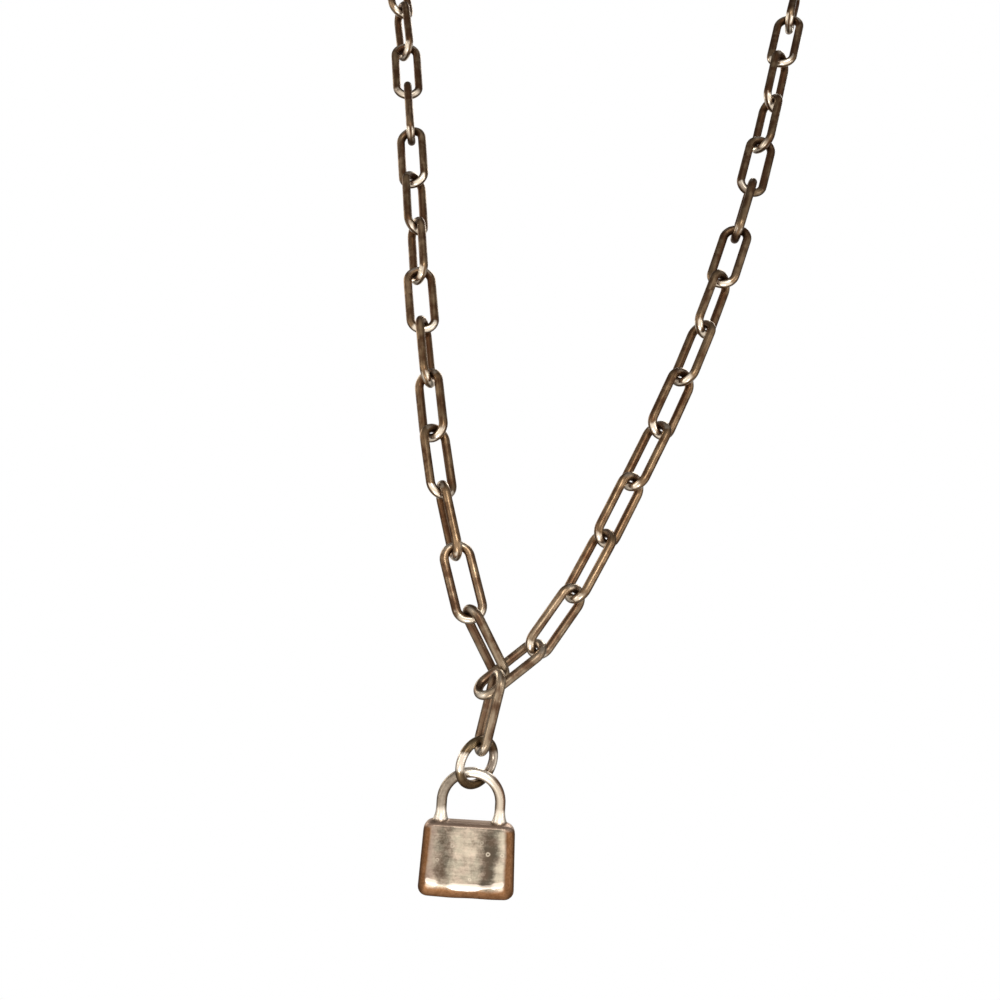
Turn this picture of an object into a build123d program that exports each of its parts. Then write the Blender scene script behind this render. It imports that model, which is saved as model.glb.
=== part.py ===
from build123d import *
import os
from math import cos, radians, sin

os.makedirs("parts", exist_ok=True)

# A padlock charm on a long-link chain necklace, hanging as it is worn.
# Millimetres: +X to the right of the front view, +Y to the back, +Z up.
# The origin is at the nape, in the middle of the clasp.

# Chain link: round wire bent to a long oval
wire = 1.0
link_width = 3.8
link_pitch = 7.0
link_gap = 0.12

# Jump ring
ring_wire = 0.95
ring_outer = 5.7
ring_gap = 0.19
shackle_gap = 0.24

# Padlock charm: body and shackle cast in one piece
body_height = 7.8
body_top_width = 9.3
body_bottom_width = 9.9
body_thickness = 2.6
body_corner = 1.0
body_edge_round = 0.75
shackle_wire = 1.1
shackle_outer = 7.1
shackle_height = 5.5
foot_flare = 0.14
foot_height = 1.1
foot_depth = 0.8

# Clasp: one plain piece with an eye at each end
clasp_reach = 12.0
clasp_eye_wire = 1.1
clasp_eye_outer = 4.2
clasp_wide_end = 4.4
clasp_narrow_end = 3.2
clasp_thickness = 2.4
clasp_edge_round = 0.8

# Number of links on each side, from the V to the clasp
left_links = 35
right_links = 36

# The route of the chain. Points are measured from the bottom of the V.
right_start = Vector(4.05, 1.25, 3.71)
left_strand = [(-8.1, 6.0, 18.3), (-11.8, 11.5, 30.9), (-15.1, 17.3, 43.8), (-17.9, 22.9, 56.2),
               (-20.8, 28.4, 68.7), (-23.9, 34.1, 81.1)]
right_strand = [(7.3, 2.7, 9.8), (12.2, 6.2, 22.5), (16.6, 10.6, 35.0), (20.2, 15.6, 47.7),
                (23.0, 20.9, 60.4), (25.1, 26.4, 73.1), (27.0, 31.9, 85.9)]

# Round the neck: shares of its half width, of its depth and of the height of the nape
neck_half_width = 50.0
nape_height = 138.0
neck_side = [(0.60, 0.31, 0.708), (0.72, 0.405, 0.796), (0.86, 0.52, 0.868), (0.985, 0.65, 0.926),
             (1.02, 0.78, 0.966), (0.89, 0.895, 0.99), (0.55, 0.98, 1.0), (0.03, 1.0, 1.0)]

# Turn of each link about its own length in degrees, from the V upwards.
# At 0 the flat of a link faces the front, and at 90 it faces sideways.
left_turns = [62.4, -5, 72, -39, 33, -78, -8, 60, -52, 15, 87, -6, 61]
right_turns = [63.0, -35, 56, -35, 53, -28, 54, -45, 22, 94, -4, 64, -48, 20]

# Turns of the hidden links from level. The last one lies level, where it holds the clasp.
left_back_first_turn = 0.0
right_back_first_turn = 90.0

# The bottom of the V: one end of the first right link holds the first left link and the drop link.
# Leans are degrees from upright, sideways to the right and then to the back.
first_right_lean = (44.7, 8.3)
first_left_lean = (-34.5, 2.9)
left_seat_from_bend = 1.77
drop_seat_angle = -0.7

# How the drop hangs, in degrees
drop_lean = (5.9, 2.39)
drop_turn = 74.0
ring_lean = (-2.67, -10.6)
ring_turn = -45.5
ring_top_angle = 9.9
ring_bottom_angle = -8.5
padlock_lean = (-4.5, 1.31)
shackle_seat_angle = 2.5

# Sizes that follow
link_radius = (link_width - wire) / 2
link_reach = (link_pitch + wire + link_gap) / 2
link_spacing = wire + link_gap
ring_radius = (ring_outer - ring_wire) / 2
shackle_radius = (shackle_outer - shackle_wire) / 2
shackle_leg = shackle_height - shackle_wire / 2 - shackle_radius
clasp_eye_radius = (clasp_eye_outer - clasp_eye_wire) / 2
clasp_eye_place = (clasp_reach + clasp_eye_wire + link_gap) / 2 - clasp_eye_radius
to_back = Vector(0, 1, 0)
to_top = Vector(0, 0, 1)


# Directions and seats

def leaning(lean):
    """A unit direction that leans from upright, sideways and then to the back."""
    sideways, backwards = (radians(angle) for angle in lean)
    return Vector(sin(sideways) * cos(backwards), sin(backwards), cos(sideways) * cos(backwards))


def across(along, turn, face):
    """The direction across a flat piece, turned about its length from the one that faces face."""
    level = face.cross(along).normalized()
    return level * cos(radians(turn)) - along.cross(level) * sin(radians(turn))


def hooked(wire_point, wire_direction, pull, bend_direction, spacing):
    """The wire centre of a bend that hooks over another wire and is pulled along pull."""
    common = wire_direction.cross(bend_direction).normalized()
    return wire_point - pull * (spacing / abs(pull.dot(common)))


def on_arc(along, sideways, radius, angle):
    """A point and the direction of a wire on an arc, by its angle from along towards sideways."""
    rise, run = cos(radians(angle)), sin(radians(angle))
    return (along * rise + sideways * run) * radius, sideways * rise - along * run


# Route of the chain

def smooth(points, steps=30):
    """Closely spaced points on a smooth curve through the chosen points."""
    ends = [points[0] * 2 - points[1]] + points + [points[-1] * 2 - points[-2]]
    route = []
    for before, start, end, after in zip(ends, ends[1:], ends[2:], ends[3:]):
        for step in range(steps):
            t = step / steps
            route.append(start + ((end - before) * t
                                  + (before * 2 - start * 5 + end * 4 - after) * t ** 2
                                  + (start * 3 - before - end * 3 + after) * t ** 3) / 2)
    return route + [points[-1]]


def chain_joints(start, strand, side, neck_depth, count):
    """Where the links of one side meet: points one pitch apart along its route."""
    hidden = [(side * neck_half_width * x, neck_depth * y, nape_height * z) for x, y, z in neck_side]
    route = smooth([start] + [Vector(point) for point in strand + hidden])
    route.append(route[-1] + (route[-1] - route[-2]).normalized() * link_pitch * count)
    stops = [start]
    for here, there in zip(route, route[1:]):
        while len(stops) <= count and (there - stops[-1]).length >= link_pitch:
            near = (here - stops[-1]).length
            far = (there - stops[-1]).length
            stops.append(here + (there - here) * ((link_pitch - near) / (far - near)))
            here = stops[-1]
    return stops


# Pieces, each at its own origin

def oval_link():
    """A wire link, its length along Z and its flat in XZ."""
    straight = link_reach - link_radius
    right = Line((link_radius, 0, -straight), (link_radius, 0, straight))
    top = ThreePointArc(right @ 1, (0, 0, link_reach), (-link_radius, 0, straight))
    left = Line(top @ 1, (-link_radius, 0, -straight))
    bottom = ThreePointArc(left @ 1, (0, 0, -link_reach), right @ 0)
    section = Plane(origin=right @ 0, z_dir=right % 0) * Circle(wire / 2)
    return sweep(section, path=Wire([right, top, left, bottom]))


def padlock_charm():
    """Body and shackle, the body's top at Z 0 and the shackle's plane in XZ."""
    outline = Polyline((-body_top_width / 2, 0), (body_top_width / 2, 0),
                       (body_bottom_width / 2, -body_height), (-body_bottom_width / 2, -body_height),
                       close=True)
    face = make_face(outline)
    face = fillet(face.vertices(), body_corner)
    body = Plane.XZ * extrude(face, amount=body_thickness / 2, both=True)
    rims = body.edges().group_by(Axis.Y)
    body = fillet(rims[0] + rims[-1], body_edge_round)
    left_leg = Line((-shackle_radius, 0, -foot_depth), (-shackle_radius, 0, shackle_leg))
    right_leg = Line((shackle_radius, 0, shackle_leg), (shackle_radius, 0, -foot_depth))
    arch = ThreePointArc(left_leg @ 1, (0, 0, shackle_leg + shackle_radius), right_leg @ 0)
    section = Plane(origin=left_leg @ 0, z_dir=to_top) * Circle(shackle_wire / 2)
    shackle = sweep(section, path=Wire([left_leg, arch, right_leg]))
    foot = Cone(shackle_wire / 2 + foot_flare, shackle_wire / 2, foot_height,
                align=(Align.CENTER, Align.CENTER, Align.MIN))
    root = Cylinder(shackle_wire / 2 + foot_flare, foot_depth, align=(Align.CENTER, Align.CENTER, Align.MAX))
    feet = [Pos(side * shackle_radius, 0, 0) * piece for side in (-1, 1) for piece in (foot, root)]
    return body + shackle + feet


def clasp_piece():
    """The clasp, its length along X and its flat in XZ."""
    end = clasp_eye_place - clasp_eye_radius
    ends = [Pos(-end + clasp_wide_end / 2, 0) * Circle(clasp_wide_end / 2),
            Pos(end - clasp_narrow_end / 2, 0) * Circle(clasp_narrow_end / 2)]
    body = extrude(make_hull(ends[0].edges() + ends[1].edges()), amount=clasp_thickness / 2, both=True)
    rims = body.edges().group_by(Axis.Z)
    body = fillet(rims[0] + rims[-1], clasp_edge_round)
    eyes = [Pos(side * clasp_eye_place, 0, 0) * Torus(clasp_eye_radius, clasp_eye_wire / 2) for side in (-1, 1)]
    return Plane.XZ * (body + eyes)


# The bottom of the V: the first link of each side

right_along = leaning(first_right_lean)
right_across = across(right_along, right_turns[0], to_back)
right_centre = right_start - right_along * (link_pitch / 2)
bend_middle = right_centre - right_along * (link_reach - link_radius)

left_along = leaning(first_left_lean)
left_across = across(left_along, left_turns[0], to_back)
left_seat = bend_middle + right_along * left_seat_from_bend - right_across * link_radius
left_bottom = hooked(left_seat, right_along, left_along, left_across, link_spacing)
left_centre = left_bottom + left_along * link_reach
left_start = left_centre + left_along * (link_pitch / 2)


# The drop: link, ring and padlock, each hooked over the one above

drop_along = leaning(drop_lean)
drop_across = across(drop_along, drop_turn, to_back)
seat, seat_direction = on_arc(right_across, -right_along, link_radius, drop_seat_angle)
drop_pivot = bend_middle + seat
drop_top = hooked(drop_pivot, seat_direction, -drop_along, drop_across, link_spacing)
drop_centre = drop_top - drop_along * link_reach
drop_bottom = drop_top - drop_along * link_reach * 2

ring_along = leaning(ring_lean)
ring_across = across(ring_along, ring_turn, to_back)
ring_top, ring_top_direction = on_arc(ring_along, ring_across, ring_radius, ring_top_angle)
ring_pivot = hooked(drop_bottom, drop_across, -to_top, ring_top_direction, (wire + ring_wire) / 2 + ring_gap)
ring_centre = ring_pivot - ring_top
ring_bottom, ring_bottom_direction = on_arc(-ring_along, ring_across, ring_radius, ring_bottom_angle)

padlock_along = leaning(padlock_lean)
padlock_across = across(padlock_along, 0, to_back)
arch_seat, arch_direction = on_arc(padlock_along, padlock_across, shackle_radius, shackle_seat_angle)
padlock_pivot = hooked(ring_centre + ring_bottom, ring_bottom_direction, -to_top, arch_direction,
                       (ring_wire + shackle_wire) / 2 + shackle_gap)
body_top = padlock_pivot - arch_seat - padlock_along * shackle_leg


# The loop round the neck: as deep as the links and the clasp reach

def clasp_room(neck_depth):
    """The space between the last link of each side, less than nothing where they cross."""
    left_end = chain_joints(left_start, left_strand, -1, neck_depth, left_links - 1)[-1]
    right_end = chain_joints(right_start, right_strand, 1, neck_depth, right_links - 1)[-1]
    room = right_end - left_end
    return room.length if room.X > 0 else -room.length


shallow, deep = neck_half_width, neck_half_width * 6
while deep - shallow > 0.001:
    middle = (shallow + deep) / 2
    shallow, deep = (middle, deep) if clasp_room(middle) < clasp_reach else (shallow, middle)

left_joints = chain_joints(left_start, left_strand, -1, deep, left_links - 1)
right_joints = chain_joints(right_start, right_strand, 1, deep, right_links - 1)
nape = (left_joints[-1] + right_joints[-1]) / 2


# Everything is put in place from the nape

link = oval_link()


def placed(piece, centre, x_direction, z_direction):
    """A piece at its place, with its own X and Z in the given directions."""
    return Plane(origin=centre - nape, x_dir=x_direction, z_dir=z_direction) * piece


def strand_links(joints, turns, face):
    """Links between the joints, each turned about its length."""
    links = []
    for low, high, turn in zip(joints, joints[1:], turns):
        along = (high - low).normalized()
        links.append(placed(link, (low + high) / 2, across(along, turn, face), along))
    return links


def hidden_turns(first, count):
    """Turns of about a quarter from link to link, up to a level last one."""
    last = 180 * round((first + 90 * (count - 1)) / 180)
    return [first + (last - first) * number / (count - 1) for number in range(count)]


sides = [("left", left_centre, left_across, left_along, left_joints, left_turns, left_back_first_turn),
         ("right", right_centre, right_across, right_along, right_joints, right_turns, right_back_first_turn)]
for side, centre, sideways, along, joints, turns, back_first_turn in sides:
    shown = len(turns) - 1
    shown_links = [placed(link, centre, sideways, along)]
    shown_links += strand_links(joints[:shown + 1], turns[1:], to_back)
    for number, shown_link in enumerate(shown_links, 1):
        export_step(shown_link, f"parts/{side}_link_{number:02d}.step")
    hidden = joints[shown:]
    back_links = strand_links(hidden, hidden_turns(back_first_turn, len(hidden) - 1), to_top)
    export_step(Compound(children=back_links), f"parts/{side}_back_chain.step")

clasp = placed(clasp_piece(), nape, (right_joints[-1] - left_joints[-1]).normalized(), to_top)
export_step(clasp, "parts/clasp.step")
export_step(placed(link, drop_centre, drop_across, drop_along), "parts/drop_link.step")
ring = Plane.XZ * Torus(ring_radius, ring_wire / 2)
export_step(placed(ring, ring_centre, ring_across, ring_along), "parts/jump_ring.step")
export_step(placed(padlock_charm(), body_top, padlock_across, padlock_along), "parts/padlock.step")
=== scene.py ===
import random
from math import atan2, cos, hypot, pi, radians, sin, sqrt

import bmesh
import bpy
import numpy as np
from mathutils import Matrix, Vector, noise


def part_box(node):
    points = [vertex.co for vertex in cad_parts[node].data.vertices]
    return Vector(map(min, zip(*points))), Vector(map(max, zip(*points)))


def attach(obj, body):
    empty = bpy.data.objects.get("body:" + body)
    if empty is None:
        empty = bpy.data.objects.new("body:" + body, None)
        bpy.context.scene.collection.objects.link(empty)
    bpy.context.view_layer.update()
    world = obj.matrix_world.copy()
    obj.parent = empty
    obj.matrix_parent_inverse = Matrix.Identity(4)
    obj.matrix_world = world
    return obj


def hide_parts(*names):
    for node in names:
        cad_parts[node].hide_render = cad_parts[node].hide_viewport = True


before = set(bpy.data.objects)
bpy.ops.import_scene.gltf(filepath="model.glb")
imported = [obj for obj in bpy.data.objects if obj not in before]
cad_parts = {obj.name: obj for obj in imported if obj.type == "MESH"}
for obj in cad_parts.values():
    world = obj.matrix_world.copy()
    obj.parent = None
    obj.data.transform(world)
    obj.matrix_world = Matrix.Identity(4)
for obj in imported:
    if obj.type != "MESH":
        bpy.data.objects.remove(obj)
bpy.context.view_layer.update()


# Chain of the V
# Each link is drawn round brass wire, bent round a mandrel to a long oval and soldered in the middle of
# one straight side. The brass has aged brown, and wear has rubbed it here and there. Its colour also holds
# painted highlights on the bends, patina and painted shade inside the bends, and painted shade that grows
# towards the top of the chain.

millimetre = 0.001
to_front = Vector((0, -1, 0))
wire_radius = 0.5
bend_radius = 1.4
straight_half = 2.66
wire_length = 4 * straight_half + 2 * pi * bend_radius
highest_wire = straight_half + pi * bend_radius / 2
links_apart = 100
left_links = [f"left_link_{number:02d}" for number in range(1, 14)]
right_links = [f"right_link_{number:02d}" for number in range(1, 15)]
link_hand = random.Random(41)


def wire_end(shape, radius, place, facets):
    """The round end of a wire, its middle at place and its length along Z."""
    made = bmesh.ops.create_circle(shape, segments=facets, radius=radius, matrix=Matrix.Translation(place))
    return list({edge for corner in made["verts"] for edge in corner.link_edges})


def carried(shape, end, steps, angle=0.0, centre=(0, 0, 0), step=(0, 0, 0), axis=(0, -1, 0)):
    """Carries a wire's end round a centre, or straight on by equal steps, and gives the new end."""
    swept = bmesh.ops.spin(shape, geom=end, cent=centre, axis=axis, dvec=step, angle=angle, steps=steps)
    return [part for part in swept["geom_last"] if isinstance(part, bmesh.types.BMEdge)]


def along_link(place):
    """Where a point of a link's surface is: the length of wire up to it, and the angle round the wire."""
    x, y, z = place
    end = straight_half if z > 0 else -straight_half
    if abs(z) <= straight_half:
        out = abs(x) - bend_radius
        run = z if x > 0 else wire_length / 2 - z
    else:
        out = hypot(x, z - end) - bend_radius
        turn = atan2(z - end, x)
        if z > 0:
            run = straight_half + bend_radius * turn
        else:
            run = wire_length - straight_half + bend_radius * turn
    return run % wire_length, atan2(y, out)


def mapped(shape, measure, round_length):
    """Lays the wire map on a wire: length in millimetres along it, and angle in radians round it."""
    layer = shape.loops.layers.uv.verify()
    for face in shape.faces:
        runs, turns = zip(*(measure(corner.vert.co) for corner in face.loops))
        for corner, run, turn in zip(face.loops, runs, turns):
            if max(runs) - min(runs) > round_length / 2 and run < round_length / 2:
                run += round_length
            if max(turns) - min(turns) > pi and turn < 0:
                turn += 2 * pi
            corner[layer].uv = (run, turn)


def long_link(facets, bend_steps, straight_steps):
    """A mesh of one link in millimetres, its length along Z and its flat in XZ."""
    shape = bmesh.new()
    step = 2 * straight_half / straight_steps
    end = wire_end(shape, wire_radius, (bend_radius, 0, -straight_half), facets)
    end = carried(shape, end, straight_steps, step=(0, 0, step))
    end = carried(shape, end, bend_steps, pi, (0, 0, straight_half))
    end = carried(shape, end, straight_steps, step=(0, 0, -step))
    carried(shape, end, bend_steps, pi, (0, 0, -straight_half))
    bmesh.ops.remove_doubles(shape, verts=shape.verts, dist=0.001)
    bmesh.ops.recalc_face_normals(shape, faces=shape.faces)
    mapped(shape, along_link, wire_length)
    mesh = bpy.data.meshes.new("long link")
    shape.to_mesh(mesh)
    shape.free()
    return mesh


def seat_of(points):
    """The place of a long flat piece from its points: Z along it, X across it, Y square to its flat."""
    points = np.array(points)
    middle = points.mean(0)
    along, across = (Vector(row) for row in np.linalg.svd(points - middle, full_matrices=False)[2][:2])
    if along.z < 0:
        along = -along
    if across.cross(to_front).z < 0:
        across = -across
    flat = along.cross(across)
    turn = Matrix((across, flat, along)).transposed().to_4x4()
    return Matrix.Translation(Vector(middle)) @ turn @ Matrix.Scale(millimetre, 4)


def node_points(name):
    """The corners of a CAD node's mesh, each once."""
    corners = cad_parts[name].data.vertices
    return np.unique(np.round([tuple(corner.co) for corner in corners], 7), axis=0)


def set_link(shape, mesh, place, number):
    """Adds a copy of a link's mesh at its place, with its own stretch of the wire map."""
    known = len(shape.verts)
    shape.from_mesh(mesh)
    shape.verts.ensure_lookup_table()
    corners = shape.verts[known:]
    layer = shape.loops.layers.uv.verify()
    for corner in corners:
        for loop in corner.link_loops:
            loop[layer].uv.x += links_apart * number
    bmesh.ops.transform(shape, matrix=place, verts=corners)


def finished(name, shape, metal):
    """Makes the piece of a mesh that is in place, in metres."""
    mesh = bpy.data.meshes.new(name)
    shape.to_mesh(mesh)
    shape.free()
    if mesh.uv_layers:
        mesh.uv_layers[0].name = "wire"
    mesh.polygons.foreach_set("use_smooth", [True] * len(mesh.polygons))
    mesh.materials.append(metal)
    piece = bpy.data.objects.new(name, mesh)
    bpy.context.scene.collection.objects.link(piece)
    return piece


class Tone:
    """One output of a shader node. Sums on it add Math nodes beside it."""

    def __init__(self, tree, socket=None):
        self.tree = tree
        self.socket = socket

    def node(self, kind, settings=None, sockets=None, output=0):
        """Adds a node, sets it up, fills its sockets with values or links, and gives one output."""
        made = self.tree.nodes.new("ShaderNode" + kind)
        for name, value in (settings or {}).items():
            setattr(made, name, value)
        for name, value in (sockets or {}).items():
            if isinstance(value, Tone):
                self.tree.links.new(value.socket, made.inputs[name])
            elif made.inputs[name].type == "RGBA" and len(value) == 3:
                made.inputs[name].default_value = (*value, 1)
            else:
                made.inputs[name].default_value = value
        return Tone(self.tree, made.outputs[output] if len(made.outputs) else None)

    def maths(self, operation, *values):
        return self.node("Math", {"operation": operation}, dict(enumerate(values)))

    def __add__(self, other):
        return self.maths("ADD", self, other)

    def __sub__(self, other):
        return self.maths("SUBTRACT", self, other)

    def __rsub__(self, other):
        return self.maths("SUBTRACT", other, self)

    def __mul__(self, other):
        return self.maths("MULTIPLY", self, other)

    def __truediv__(self, other):
        return self.maths("DIVIDE", self, other)

    def __mod__(self, other):
        return self.maths("MODULO", self, other)

    def __pow__(self, other):
        return self.maths("POWER", self, other)

    def __abs__(self):
        return self.maths("ABSOLUTE", self)

    __radd__ = __add__
    __rmul__ = __mul__

    def most(self, other):
        return self.maths("MAXIMUM", self, other)

    def part(self, number):
        """The X, Y or Z of a place, for 0, 1 or 2."""
        return self.node("SeparateXYZ", None, {0: self}, number)

    def swung(self, half):
        """How far this is from the nearest even multiple of half."""
        return self.maths("PINGPONG", self, half)

    def between(self, low, high):
        """0 below low and 1 above high, eased between them."""
        return self.node("MapRange", {"interpolation_type": "SMOOTHSTEP"}, {0: self, 1: low, 2: high})

    def blend(self, first, second):
        """The first colour where this is 0 and the second where it is 1."""
        return self.node("Mix", {"data_type": "RGBA"}, {0: self, 6: first, 7: second}, 2)

    def grain(self, scale, detail=3.0, roughness=0.5, distortion=0.0):
        """Noise at a place, with scale in features to the unit."""
        return self.node("TexNoise", {"noise_dimensions": "3D"},
                         {"Vector": self, "Scale": scale, "Detail": detail, "Roughness": roughness,
                          "Distortion": distortion})


relief_depth = 0.02 * millimetre


def new_metal(name):
    """An empty material and the tree that its nodes go to."""
    metal = bpy.data.materials.new(name)
    metal.use_nodes = True
    metal.node_tree.nodes.clear()
    return metal, Tone(metal.node_tree)


def coated(start, colour, roughness, height, bump):
    """Ends a metal: one shader with its colour, roughness and relief, which is up to relief_depth high."""
    relief = start.node("Bump", None, {"Strength": bump, "Distance": relief_depth, "Height": height})
    shader = start.node("BsdfPrincipled", None, {"Base Color": colour, "Roughness": roughness,
                                                 "Metallic": 1.0, "Normal": relief})
    start.node("OutputMaterial", None, {"Surface": shader})


highlight_brass = (1.0, 0.94, 0.82)
inside_patina_and_shade = (0.225, 0.128, 0.078)
solder_grey = (0.30, 0.26, 0.20)
top_shade_brown = (0.72, 0.60, 0.485)


def aged_wire(name, wear_and_highlight, olive, brown, dark, rough):
    """Brass wire that has aged, coloured from worn to darkest, in soft streaks along the wire, with
    painted highlights on the bends, and painted shade inside them and towards the top.
    """
    metal, start = new_metal(name)
    lie = start.node("UVMap", {"uv_map": "wire"})
    run, turn = lie.part(0), lie.part(1)
    out, side = turn.maths("COSINE", turn), turn.maths("SINE", turn)
    skin = run.node("CombineXYZ", None, {0: out * wire_radius, 1: side * wire_radius, 2: run})
    drawn = run.node("CombineXYZ", None, {0: out * 0.75, 1: side * 0.75, 2: run * 0.2})
    streaks = drawn.grain(1.5, 3.0, 0.5)
    place = start.node("TexCoord", None, None, 3)
    rise = place.part(2)
    cloud = place.grain(170.0, 2.0, 0.5)
    tarnish = skin.grain(0.7, 2.0, 0.5, 0.3)
    pores = skin.grain(3.2, 1.0, 0.5)
    from_solder = (run % links_apart).swung(wire_length / 2)
    joint = 1 - (from_solder + tarnish * 0.2).between(0.18, 0.34)
    # Patina and painted shade on the inner side of each bend: a redder brown, with less wear.
    inner_patina_and_shade = (0.5 - out * 0.5).between(0.60, 1.0)
    # Painted shade: the chain gets darker towards the top, with less wear and more dark brown.
    towards_top_shade = rise.between(-0.125, -0.065)

    worn = streaks * 0.55 + tarnish * 0.45 + cloud * 0.30 - inner_patina_and_shade * 0.12 - towards_top_shade * 0.07
    worn = worn.between(0.50, 0.86)
    grime_and_top_shade = (1 - tarnish) * 0.6 + (1 - streaks) * 0.5 + towards_top_shade * 0.12 + pores * 0.15
    grime_and_top_shade = grime_and_top_shade.between(0.58, 0.86)
    colour = (streaks + tarnish).between(0.82, 1.12).blend(brown, olive)
    colour = worn.blend(colour, wear_and_highlight)
    colour = (grime_and_top_shade * 0.8).blend(colour, dark)
    colour = (inner_patina_and_shade * 0.45).blend(colour, inside_patina_and_shade)
    colour = (joint * 0.2).blend(colour, solder_grey)
    # Painted shade: the chain's upper part is multiplied by a brown, a little less near the very top.
    shade = rise.between(-0.139, -0.122) * (1 - rise.between(-0.105, -0.085) * 0.15)
    colour = colour.node("Mix", {"data_type": "RGBA", "blend_type": "MULTIPLY"},
                         {0: shade, 6: colour, 7: top_shade_brown}, 2)

    # Painted highlight: pale brass on the front of each bend, stronger on the lower bends, where lamps would
    # shine; it stands partly for wear where the links rub.
    from_bend = (run % links_apart - highest_wire).swung(wire_length / 4)
    rubbed_end_highlight = 1 - (from_bend + (tarnish - 0.5) * 3).between(1.1, 1.7)
    rubbed_end_highlight = rubbed_end_highlight * (out * 0.55 + abs(side) * 0.8).between(0.66, 0.88)
    rubbed_end_highlight = rubbed_end_highlight * cloud.between(0.36, 0.50)
    low_end = run.maths("GREATER_THAN", run % links_apart, wire_length / 2)
    rubbed_end_highlight = rubbed_end_highlight * (low_end * 0.60 + 0.35)
    colour = rubbed_end_highlight.blend(colour, highlight_brass)
    roughness = rough + grime_and_top_shade * 0.10 - worn * 0.05 + pores * 0.03 - rubbed_end_highlight * 0.14
    coated(start, colour, roughness, tarnish * 0.6 + joint * 0.2, 0.03)
    return metal


chain_metal = aged_wire("aged chain brass", wear_and_highlight=(0.46, 0.38, 0.285), olive=(0.180, 0.147, 0.100),
                        brown=(0.195, 0.128, 0.084), dark=(0.078, 0.042, 0.024), rough=0.36)
fine_link = long_link(28, 18, 8)
for number, name in enumerate(left_links + right_links):
    link = bmesh.new()
    tilt = Matrix.Rotation(radians(link_hand.uniform(-0.25, 0.25)), 4, "Y")
    set_link(link, fine_link, seat_of(node_points(name)) @ tilt, number)
    piece = finished("wire_" + name, link, chain_metal)
    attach(piece, "root")
    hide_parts(name)


# Chain round the neck
# The same links of the same wire, out of sight from the front and up to the clasp, each lying a quarter
# turn from the next. They're numbered from the lowest up, so that each link keeps its own marks.

plain_link = long_link(16, 10, 4)
for side in ("left", "right"):
    loose = bmesh.new()
    loose.from_mesh(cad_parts[f"{side}_back_chain"].data)
    bmesh.ops.remove_doubles(loose, verts=loose.verts, dist=1e-7)
    waiting = set(loose.verts)
    links = []
    while waiting:
        reached = [waiting.pop()]
        island = []
        while reached:
            corner = reached.pop()
            island.append(tuple(corner.co))
            for edge in corner.link_edges:
                other = edge.other_vert(corner)
                if other in waiting:
                    waiting.remove(other)
                    reached.append(other)
        links.append(sorted(island))
    loose.free()
    links.sort(key=lambda corners: min(corner[2] for corner in corners))
    chain = bmesh.new()
    for number, corners in enumerate(links, 40 if side == "left" else 70):
        set_link(chain, plain_link, seat_of(corners), number)
    piece = finished(f"wire_{side}_back_links", chain, chain_metal)
    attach(piece, "root")
    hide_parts(f"{side}_back_chain")


# Drop link
# One more link of the chain's wire, hooked over the lowest bend so that the charm hangs clear of the V.
# It hangs free, and turns over the wire that it hangs from.

drop = bmesh.new()
set_link(drop, fine_link, seat_of(node_points("drop_link")), 35)
drop_piece = finished("drop_wire", drop, chain_metal)
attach(drop_piece, "drop_link")
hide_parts("drop_link")


# Jump ring
# A round ring of slightly thinner wire, sawn from a coil, its two cut ends pushed together. It joins the
# drop link to the charm. Its sides carry a painted cream highlight, and the inner wall of its upper half a
# painted shade.

ring_radius = 2.375
ring_wire = 0.475
ring_cut = radians(1.6)
ring_cut_place = radians(-62)
ring_cut_round = 0.06
ring_brown, ring_brass = (0.115, 0.078, 0.042), (0.24, 0.185, 0.115)
ring_highlight_cream, ring_inner_shade = (1.0, 0.95, 0.86), (0.085, 0.045, 0.022)


def along_ring(place):
    """Where a point of the ring's surface is, as along_link gives it for a link."""
    x, y, z = place
    return (atan2(z, x) % (2 * pi)) * ring_radius, atan2(y, hypot(x, z) - ring_radius)


ring = bmesh.new()
cut = wire_end(ring, ring_wire, (ring_radius, 0, 0), 28)
carried(ring, cut, 84, 2 * pi - ring_cut)
mapped(ring, along_ring, 2 * pi * ring_radius)
bmesh.ops.holes_fill(ring, edges=[edge for edge in ring.edges if edge.is_boundary])
rims = [edge for edge in ring.edges if any(len(face.verts) > 4 for face in edge.link_faces)]
bmesh.ops.bevel(ring, geom=rims, offset=ring_cut_round, segments=2, profile=0.5, affect="EDGES", material=-1)
bmesh.ops.recalc_face_normals(ring, faces=ring.faces)
ring_points = node_points("jump_ring")
low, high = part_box("jump_ring")
ring_axis = Vector(np.linalg.svd(ring_points - ring_points.mean(0), full_matrices=False)[2][2])
ring_up = (Vector((0, 0, 1)) - ring_axis * ring_axis.z).normalized()
ring_side = ring_axis.cross(ring_up)
ring_turn = Matrix((ring_side, ring_axis, ring_up)).transposed().to_4x4()
ring_middle = (low + high) / 2
ring_place = Matrix.Translation(ring_middle) @ ring_turn @ Matrix.Rotation(ring_cut_place, 4, "Y")
bmesh.ops.transform(ring, matrix=ring_place @ Matrix.Scale(millimetre, 4), verts=ring.verts)
ring_metal, start = new_metal("aged ring brass")
place = start.node("TexCoord", None, None, 3)
ring_mottle = place.grain(520.0, 3.0, 0.5)
pores = place.grain(2600.0, 2.0, 0.5)
place = place.node("Mapping", {"vector_type": "TEXTURE"},
                   {"Vector": place, "Location": ring_middle, "Rotation": ring_turn.to_euler(),
                    "Scale": (millimetre,) * 3})
across, height = place.part(0), place.part(2)
# Painted highlight: cream on the ring's two sides, where front lamps would catch the wire, with a mottled
# edge.
ring_side_highlight = 1 - (abs(height - 0.2) + (ring_mottle - 0.5) * 1.2).between(0.60, 1.15)
colour = ring_mottle.between(0.38, 0.64).blend(ring_brown, ring_brass)
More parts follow.
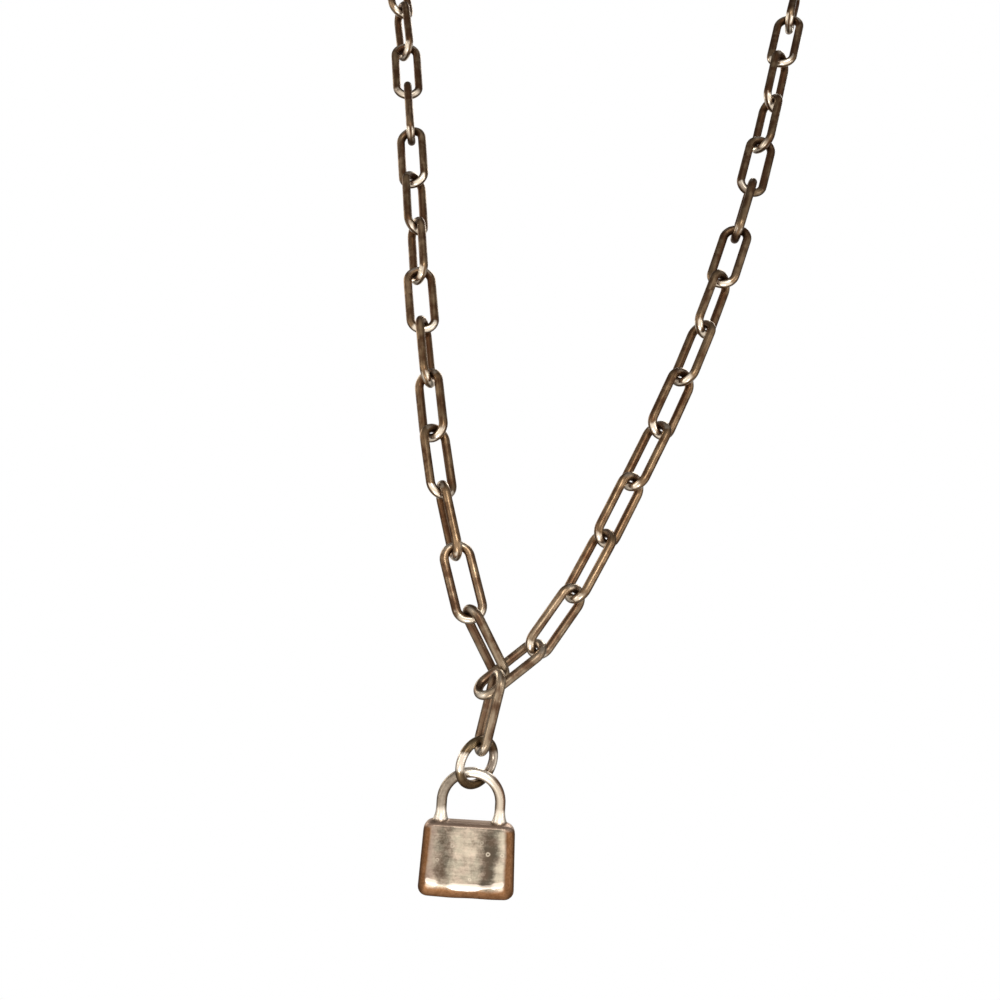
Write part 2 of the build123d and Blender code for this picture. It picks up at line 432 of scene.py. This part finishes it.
# Painted shade on the inner wall of the ring's upper half.
inward = (ring_radius - (across * across + height * height) ** 0.5).between(-0.05, 0.30)
inward = inward * height.between(-1.4, -0.4)
colour = (ring_side_highlight * 0.95).blend(colour, ring_highlight_cream)
colour = (inward * 0.75).blend(colour, ring_inner_shade)
coated(start, colour, 0.24 + pores * 0.08 + (1 - ring_side_highlight) * 0.06, pores * 0.2 + ring_mottle * 0.5, 0.12)
ring_piece = finished("sawn_ring", ring, ring_metal)
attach(ring_piece, "jump_ring")
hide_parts("jump_ring")


# Padlock charm
# Body and shackle are cast in one piece, so the shackle's feet run out into the body's top. The face has
# been brushed. Its colour holds a painted copper-brown reflection on the rounded rims, painted reflection
# bands on the face, a painted highlight band low on the face, and painted light and shade on the shackle.

body_height = 7.8
body_half_top = 4.65
body_half_bottom = 4.95
body_half_depth = 1.3
body_corner = 1.05
rim_half_depth = 0.42
left_rim, right_rim, top_rim = 0.75, 1.0, 0.42
bottom_rim, bottom_rim_gain = 1.48, 0.40
rim_crispness = 1.3
shackle_radius = 3.0
shackle_wire = 0.55
shackle_leg = 1.95
shackle_height = 5.5
foot_depth = 0.8
foot_height = 1.25
foot_flare = 0.27
cast_grain = 0.075
reflection_right, reflection_left, reflection_foot, reflection_head = 1.45, 1.15, 1.60, 0.58
pale_warm, pale_olive = (0.72, 0.63, 0.53), (0.67, 0.63, 0.52)
dark_warm, dark_olive = (0.115, 0.086, 0.064), (0.090, 0.084, 0.066)
deep_copper, light_copper = (0.180, 0.088, 0.038), (0.29, 0.156, 0.080)
head_copper, violet_brown = (0.44, 0.34, 0.28), (0.27, 0.19, 0.165)
foot_highlight, pit_rim = (0.94, 0.87, 0.80), (0.90, 0.84, 0.72)
shank_dark, shank_light = (0.205, 0.175, 0.140), (0.45, 0.405, 0.34)
shank_lit_side, shank_inner_shade = (0.80, 0.74, 0.63), (0.17, 0.125, 0.085)
shank_outer_shade, shank_highlight = (0.20, 0.105, 0.06), (1.0, 0.96, 0.88)

# Tone patches of the face, partly its own mottle and partly painted reflection bands: across, up, half
# width, half height, and how much paler each one is.
face_tone_and_reflections = (
    (-2.4, -4.0, 0.95, 9.0, -0.20), (2.2, -4.0, 1.00, 9.0, -0.24), (-2.6, -1.5, 0.70, 1.3, -0.12),
    (-2.7, -5.0, 0.90, 0.9, -0.24), (2.1, -1.4, 0.90, 0.9, -0.14), (2.35, -2.9, 0.95, 1.0, -0.30),
    (1.1, -2.9, 0.60, 0.6, -0.20), (2.1, -5.0, 0.75, 1.4, -0.28), (1.6, -6.3, 0.85, 0.5, -0.18),
    (0.1, -2.9, 1.50, 0.6, 0.24), (-0.6, -1.5, 1.40, 0.8, 0.12), (3.65, -2.2, 0.50, 1.8, 0.28),
    (3.4, -5.0, 0.65, 1.5, 0.22), (-3.8, -4.2, 0.50, 2.2, 0.12), (0.2, -5.2, 1.50, 0.8, 0.07))

# Round pits of the face: across, up, size, and how deep and pale each one is.
face_pits = (
    (2.05, -2.95, 0.17, 1.0), (-3.05, -3.8, 0.15, 0.45), (-1.6, -2.3, 0.17, 0.45),
    (1.35, -1.85, 0.15, 0.35), (0.35, -5.6, 0.13, 0.8), (3.5, -3.0, 0.16, 0.8))
lock_lean, lock_back = radians(-4.5), radians(1.31)
lock_along = Vector((sin(lock_lean) * cos(lock_back), sin(lock_back), cos(lock_lean) * cos(lock_back)))
lock_across = Vector((0, 1, 0)).cross(lock_along).normalized()
lock_depth = lock_along.cross(lock_across)
lock_points = node_points("padlock")


def span(direction):
    """The lowest and highest place of the CAD padlock along a direction."""
    places = lock_points @ np.array(direction)
    return places.min(), places.max()


body_top = (lock_across * sum(span(lock_across)) / 2 + lock_depth * sum(span(lock_depth)) / 2
            + lock_along * (span(lock_along)[1] - shackle_height * millimetre))
lock_turn = Matrix((lock_across, lock_depth, lock_along)).transposed()


def pillowed(place):
    """Where a point of a plain block lies on the cast body, whose top is at Z 0."""
    across, depth, up = place * 2
    half_height = body_height / 2
    half_width = body_half_bottom + (body_half_top - body_half_bottom) * (up + 1) / 2
    end_rim = bottom_rim if up < 0 else top_rim
    side_rim = right_rim if across > 0 else left_rim
    x, z = abs(across) * half_width, abs(up) * half_height
    if up < 0:
        end_rim += bottom_rim_gain * across * across
    out, over = x - (half_width - body_corner), z - (half_height - body_corner)
    edge = 0.0
    if out > 0 and over > 0:
        out, over = out / body_corner, over / body_corner
        out, over = out * sqrt(1 - over * over / 2), over * sqrt(1 - out * out / 2)
        x = half_width - body_corner * (1 - out)
        z = half_height - body_corner * (1 - over)
        share = atan2(over, out) / (pi / 2)
        edge = 1 - body_corner * (1 - hypot(out, over)) / (side_rim + (end_rim - side_rim) * share)
    near_side = max(0, 1 - (half_width - x) / side_rim)
    near_end = max(0, 1 - (half_height - z) / end_rim)
    fall = min(max(hypot(near_side, near_end), edge), 1)
    half_depth = rim_half_depth + (body_half_depth - rim_half_depth) * sqrt(1 - fall ** rim_crispness)
    return Vector((x if across > 0 else -x, depth * half_depth, (z if up > 0 else -z) - half_height))


lock = bmesh.new()
bmesh.ops.create_cube(lock, size=1)
bmesh.ops.subdivide_edges(lock, edges=lock.edges, cuts=63, use_grid_fill=True)
for corner in lock.verts:
    corner.co = pillowed(corner.co)
block_corners = len(lock.verts)
end = wire_end(lock, shackle_wire, (shackle_radius, 0, -foot_depth), 32)
end = carried(lock, end, 4, step=(0, 0, foot_depth / 4))
end = carried(lock, end, 12, step=(0, 0, shackle_leg / 12))
end = carried(lock, end, 40, pi, (0, 0, shackle_leg))
end = carried(lock, end, 12, step=(0, 0, -shackle_leg / 12))
end = carried(lock, end, 4, step=(0, 0, -foot_depth / 4))
lock.verts.ensure_lookup_table()
for corner in lock.verts[block_corners:]:
    if corner.co.z < foot_height:
        leg = Vector((shackle_radius if corner.co.x > 0 else -shackle_radius, 0, corner.co.z))
        share = 1 - max(corner.co.z, 0) / foot_height
        corner.co = leg + (corner.co - leg) * (1 + foot_flare / shackle_wire * share ** 2)
bmesh.ops.holes_fill(lock, edges=[edge for edge in lock.edges if edge.is_boundary])
bmesh.ops.recalc_face_normals(lock, faces=lock.faces)
lock_metal, start = new_metal("brushed champagne casting")
rough_cast = finished("rough_cast", lock, lock_metal)
fused = rough_cast.modifiers.new("fused", "REMESH")
fused.mode, fused.voxel_size = "VOXEL", cast_grain
smooth = rough_cast.modifiers.new("smooth", "SMOOTH")
smooth.factor, smooth.iterations = 0.5, 6
bpy.context.view_layer.update()
cast = bpy.data.meshes.new_from_object(rough_cast.evaluated_get(bpy.context.evaluated_depsgraph_get()))
bpy.data.objects.remove(rough_cast)
lock = bmesh.new()
lock.from_mesh(cast)
for corner in lock.verts:
    x, y, z = corner.co
    if z < 0:
        swell = noise.noise(Vector((x * 0.42, y * 0.2 + 3, z * 0.16)))
        dents = noise.noise(Vector((x * 1.1 + 7, y * 0.2, z * 0.9)))
        inward = -1 if y > 0 else 1
        ease = min(-z / 0.5, 1) * min(abs(y), 1)
        corner.co.y += inward * (0.035 + 0.035 * swell + 0.012 * dents) * ease
        low_edge = max(0.0, (1.4 - z - body_height) / 1.4)
        corner.co.z += low_edge * 0.07 * (noise.noise(Vector((x * 0.33 + 2, 0, 0))) + 0.35)
lock_place = Matrix.Translation(body_top) @ lock_turn.to_4x4() @ Matrix.Scale(millimetre, 4)
bmesh.ops.transform(lock, matrix=lock_place, verts=lock.verts)

place = start.node("TexCoord", None, None, 3)
place = place.node("Mapping", {"vector_type": "TEXTURE"},
                   {"Vector": place, "Location": body_top, "Rotation": lock_turn.to_euler(),
                    "Scale": (millimetre,) * 3})
across, depth, up = place.part(0), place.part(1), place.part(2)
cloud = place.grain(0.55, 3.0, 0.55)
mottle = place.grain(1.9, 5.0, 0.65, 0.5)
blots = place.grain(4.6, 3.0, 0.6, 0.4)
brushed = place.node("CombineXYZ", None, {0: across * 0.45, 1: depth * 2, 2: up * 3.4})
brush = brushed.grain(1.7, 4.0, 0.6)
fine = place.grain(11.0, 2.0, 0.5)
above = up.between(-0.15, 0.20)

half_width = body_half_top - up * ((body_half_bottom - body_half_top) / body_height)
wander = (cloud - 0.5) * 0.35 + (mottle - 0.5) * 0.18
# Painted reflection: the rounded rims and the thin edges are painted copper-brown, the warm room as they
# would mirror it.
to_right = 1 - (half_width - across) / reflection_right
to_left = 1 - (half_width + across) / reflection_left
to_foot = 1 - (up + body_height) / reflection_foot
to_head = 1 - up * -1 / reflection_head
beside = to_right.most(to_left).most(0.0)
beyond = to_foot.most(to_head).most(0.0)
rim_reflection = ((beside * beside + beyond * beyond) ** 0.5 + wander).between(0.16, 0.46)
off_edge = abs(depth).between(0.75, 1.05)
rim_reflection = 1 - (1 - rim_reflection) * off_edge

tone = cloud * 0.36 + mottle * 0.60 + brush * 0.40 + blots * 0.30
shift = place.node("TexNoise", None, {"Vector": place, "Scale": 0.8, "Detail": 3.0}, 1)
shift = shift.node("VectorMath", {"operation": "SCALE"}, {0: shift, "Scale": 0.9})
bent = place.node("VectorMath", {"operation": "ADD"}, {0: place, 1: shift})
bent_across, bent_up = bent.part(0) - 0.45, bent.part(2) - 0.45
# Painted reflection bands and patches on the face, mixed with some of its own tone.
for x, z, width, height, strength in face_tone_and_reflections:
    sideways, upward = (bent_across - x) / width, (bent_up - z) / height
    tone = tone + (1 - ((sideways * sideways + upward * upward) ** 0.5).between(0.05, 1.5)) * strength
light = (tone - 0.86).between(-0.50, 0.34)
tint = place.grain(0.8, 3.0, 0.6).between(0.38, 0.62).blend(pale_warm, pale_olive)
shade = place.grain(0.4, 2.0, 0.5).between(0.38, 0.62).blend(dark_warm, dark_olive)
face = light.blend(shade, tint)
copper = (mottle * 0.6 + blots * 0.4).between(0.34, 0.66).blend(deep_copper, light_copper)
# Painted reflection on the top rim, a paler pinkish brown, which also lays painted shade over the bright
# line of its edge.
head_reflection = up.between(-0.75, -0.40) * (1 - above)
copper = (head_reflection * 0.9).blend(copper, head_copper)
violet = (across * -1 + wander).between(2.9, 4.2) * (1 - rim_reflection) * 0.75
face = violet.blend(face, violet_brown)
colour = rim_reflection.blend(face, copper)

# Painted highlight: a pale band low on the face, where the bottom rim curves under, thinner in places, with
# round ends.
off_middle = across + 0.15
from_middle = abs(off_middle)
highlight_beyond_end = (from_middle - 3.70).most(0.0)
highlight_height = up + (body_height - 1.36) - off_middle * off_middle * 0.034
thin = from_middle.between(1.1, 1.9) * (1 - from_middle.between(2.6, 3.1))
band_half = 0.34 - thin * 0.16 - from_middle.between(2.8, 3.4) * 0.06
from_band = (highlight_beyond_end * highlight_beyond_end + highlight_height * highlight_height) ** 0.5
wear_and_highlight = 1 - (from_band + wander * 0.25 - band_half).between(-0.06, 0.08)
wear_and_highlight = wear_and_highlight * (depth * -1).between(0.2, 0.5)
wear_and_highlight = wear_and_highlight * (1 - thin * (0.85 - across.between(-1.5, 1.5) * 0.30))
colour = wear_and_highlight.blend(colour, foot_highlight)

arch_up = up - shackle_leg
over_legs = arch_up.most(0.0)
arch = (across * across + over_legs * over_legs) ** 0.5
# Painted light on the shackle: its right side paler, painted shade on its inner edge and on the outer edge
# of the arch's right part, and painted highlights on the crown and the feet.
shank = (mottle * 0.7 + cloud * 0.5).between(0.35, 0.8).blend(shank_dark, shank_light)
shank = ((across + mottle).between(-1.4, 1.8) * 0.80).blend(shank, shank_lit_side)
shank = ((2.86 - arch).between(0.0, 0.3) * 0.7).blend(shank, shank_inner_shade)
shank = (arch.between(3.14, 3.36) * across.between(0.5, 2.0) * 0.85).blend(shank, shank_outer_shade)
feet = (1 - (up + mottle * 0.6).between(1.2, 1.9)) * up.between(0.0, 0.25)
crown = (across.between(-1.3, -0.5) - across.between(1.4, 2.6)) * arch_up.between(1.2, 2.2)
shank = feet.most(crown).blend(shank, shank_highlight)
colour = above.blend(colour, shank)

pits = None
for x, z, size, strength in face_pits:
    sideways, upward = across - x + (blots - 0.5) * 0.12, up - z + (fine - 0.5) * 0.08
    apart = (sideways * sideways + upward * upward) ** 0.5
    hollow = (apart.between(size * 0.2, size) - apart.between(size * 0.8, size * 1.7)) * strength
    pits = hollow if pits is None else pits + hollow
pits = pits * (1 - rim_reflection) * (1 - above)
colour = (pits * 0.65).blend(colour, pit_rim)
unbrushed = rim_reflection.most(wear_and_highlight).most(above)
roughness = 0.34 + (brush * 0.14 - light * 0.05) * (1 - unbrushed)
roughness = roughness - above * 0.08 - wear_and_highlight * 0.04 + rim_reflection * 0.10 + fine * 0.03
height = brush * (1 - unbrushed) * 0.5 + mottle * 0.4 + fine * 0.10 + pits * 0.6
coated(start, colour, roughness, height, 0.30)
lock_piece = finished("lock_casting", lock, lock_metal)
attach(lock_piece, "padlock")
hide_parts("padlock")


# Clasp
# At the nape, out of sight: one plain brass piece with an eye at each end, which holds the last link of
# each side. All its edges are well rounded.

eye_radius = 1.55
eye_wire = 0.55
eye_place = 5.05
wide_end, narrow_end = 2.2, 1.6
clasp_half_depth = 1.2
clasp_round = 0.55
panel_rim, panel_depth = 0.35, 0.12
clasp_dark, clasp_light = (0.17, 0.115, 0.068), (0.42, 0.32, 0.21)
clasp_points = node_points("clasp")
clasp_across = Vector(np.linalg.svd(clasp_points - clasp_points.mean(0), full_matrices=False)[2][0])
if clasp_across.x < 0:
    clasp_across = -clasp_across
clasp_depth = Vector((0, 0, 1)).cross(clasp_across).normalized()
clasp_turn = Matrix((clasp_across, clasp_depth, clasp_across.cross(clasp_depth))).transposed()
clasp = bmesh.new()
body_end = eye_place - eye_radius
outline = bmesh.ops.create_circle(clasp, cap_ends=True, segments=96, radius=1)["verts"]
for corner in outline:
    radius = wide_end if corner.co.x < 0 else narrow_end
    centre = wide_end - body_end if corner.co.x < 0 else body_end - narrow_end
    corner.co = Vector((corner.co.x * radius + centre, -clasp_half_depth, corner.co.y * radius))
front = bmesh.ops.extrude_face_region(clasp, geom=clasp.faces[:])["geom"]
bmesh.ops.translate(clasp, vec=(0, 2 * clasp_half_depth, 0),
                    verts=[part for part in front if isinstance(part, bmesh.types.BMVert)])
rims = [edge for edge in clasp.edges if any(len(face.verts) > 4 for face in edge.link_faces)]
bmesh.ops.bevel(clasp, geom=rims, offset=clasp_round, segments=6, profile=0.5, affect="EDGES", material=-1)
panels = [face for face in clasp.faces if len(face.verts) > 4]
bmesh.ops.inset_region(clasp, faces=panels, thickness=panel_rim, depth=0)
bmesh.ops.inset_region(clasp, faces=panels, thickness=panel_depth, depth=-panel_depth)
for side in (-1, 1):
    eye = wire_end(clasp, eye_wire, (side * eye_place + eye_radius, 0, 0), 24)
    bmesh.ops.spin(clasp, geom=eye, cent=(side * eye_place, 0, 0), axis=(0, -1, 0), angle=2 * pi, steps=48,
                   use_merge=True)
bmesh.ops.remove_doubles(clasp, verts=clasp.verts, dist=0.0005)
bmesh.ops.recalc_face_normals(clasp, faces=clasp.faces)
clasp_place = Matrix.Translation(sum(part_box("clasp"), Vector()) / 2) @ clasp_turn.to_4x4()
bmesh.ops.transform(clasp, matrix=clasp_place @ Matrix.Scale(millimetre, 4), verts=clasp.verts)
clasp_metal, start = new_metal("aged clasp brass")
place = start.node("TexCoord", None, None, 3)
tarnish = place.grain(700.0, 5.0, 0.6, 0.3)
scratches = place.grain(3600.0, 2.0, 0.5)
colour = tarnish.between(0.4, 0.68).blend(clasp_dark, clasp_light)
coated(start, colour, 0.24 + tarnish * 0.2, tarnish * 0.5 + scratches * 0.2, 0.35)
clasp_piece = finished("nape_clasp", clasp, clasp_metal)
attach(clasp_piece, "root")
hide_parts("clasp")


# Camera
# Level, a little above the charm, and turned eight degrees about its own line of sight, with the charm
# below its middle. The picture is square, and 36 mm of film at 41.4 mm gives the view.

roll = radians(8)
from_link = Vector((12.383, -134.489, -21.877))
camera_data = bpy.data.cameras.new("camera")
camera_data.lens = 41.4
camera_data.sensor_width = 36
camera_data.clip_start = 0.01
camera = bpy.data.objects.new("camera", camera_data)
to_right = Vector((cos(roll), 0, sin(roll)))
to_top = Vector((-sin(roll), 0, cos(roll)))
to_camera = to_right.cross(to_top)
camera_turn = Matrix((to_right, to_top, to_camera)).transposed().to_4x4()
camera_place = sum(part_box("left_link_07"), Vector()) / 2 + from_link * millimetre
camera.matrix_world = Matrix.Translation(camera_place) @ camera_turn
bpy.context.scene.collection.objects.link(camera)
bpy.context.scene.camera = camera
bpy.context.scene.view_settings.view_transform = "Standard"


# Studio
# A white room that the metal sees as warm and dim, with soft lamps: a low one and a high one in front,
# which give the short bright lights on bends and rims, a narrow one at each side, and two behind. The
# pale floor is far below.

charm_middle = sum(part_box("padlock"), Vector()) / 2
floor_middle = Vector((0, -0.06, -1.5))
floor_radius = 1.6


def lamp(name, azimuth, elevation, distance, width, height, power, colour):
    """A soft lamp that faces the charm, from an azimuth about Z, 0 in front, and a height in degrees."""
    light = bpy.data.lights.new(name, "AREA")
    light.shape, light.size, light.size_y = "RECTANGLE", width, height
    light.energy = power
    light.color = colour
    stand = bpy.data.objects.new(name, light)
    turn, rise = radians(azimuth), radians(elevation)
    away = Vector((sin(turn) * cos(rise), -cos(turn) * cos(rise), sin(rise)))
    stand.location = charm_middle + away * distance
    stand.rotation_euler = away.to_track_quat("Z", "Y").to_euler()
    stand.visible_camera = False
    bpy.context.scene.collection.objects.link(stand)


warm, clear = (1.0, 0.88, 0.74), (1.0, 0.95, 0.88)
lamp("high front lamp", 6, 33, 0.9, 0.20, 0.20, 2.2, clear)
lamp("low front lamp", -5, -40, 0.9, 0.22, 0.13, 1.9, clear)
lamp("left strip lamp", -64, 4, 1.1, 0.12, 0.8, 0.8, warm)
lamp("right strip lamp", 60, 4, 1.1, 0.12, 0.8, 1.0, clear)
lamp("back lamp", 160, 35, 1.2, 0.5, 0.5, 4.0, clear)
lamp("back left lamp", -130, 15, 1.2, 0.5, 0.5, 2.5, warm)

world = bpy.data.worlds.new("studio room")
bpy.context.scene.world = world
world.use_nodes = True
world.node_tree.nodes.clear()
room = Tone(world.node_tree)
way = room.node("TexCoord", None, None, 0)
way_y = way.part(1)
front = (way_y * -1).between(-0.75, 0.6)
above = way.part(2).between(0.25, 0.95)
warmth = above.blend((1.0, 0.895, 0.80), (1.0, 0.93, 0.86))
behind = way_y.between(0.70, 0.97)
level = 0.06 + front * (1 - above * 0.6) * 0.90 + behind * 0.75
seen = room.node("Background", None, {"Color": warmth, "Strength": level})
white = room.node("Background", None, {"Color": (1, 1, 1), "Strength": 1.0})
straight_on = room.node("LightPath", None, None, 0)
both = room.node("MixShader", None, {0: straight_on, 1: seen, 2: white})
room.node("OutputWorld", None, {"Surface": both})

floor_mesh = bmesh.new()
bmesh.ops.create_circle(floor_mesh, cap_ends=True, segments=96, radius=floor_radius,
                        matrix=Matrix.Translation(floor_middle))
floor_paint, start = new_metal("pale floor")
place = start.node("TexCoord", None, None, 3)
apart = start.node("VectorMath", {"operation": "DISTANCE"}, {0: place, 1: floor_middle}, 1)
paint = start.node("BsdfPrincipled", None, {"Base Color": (0.92, 0.91, 0.89), "Roughness": 0.8,
                                                "Emission Color": (1.0, 0.99, 0.97),
                                                "Emission Strength": 0.42})
clear_edge = start.node("BsdfTransparent")
fade = apart.between(0.7, 1.55)
faded = start.node("MixShader", None, {0: fade, 1: paint, 2: clear_edge})
start.node("OutputMaterial", None, {"Surface": faded})
floor = finished("floor", floor_mesh, floor_paint)
floor.visible_glossy = False
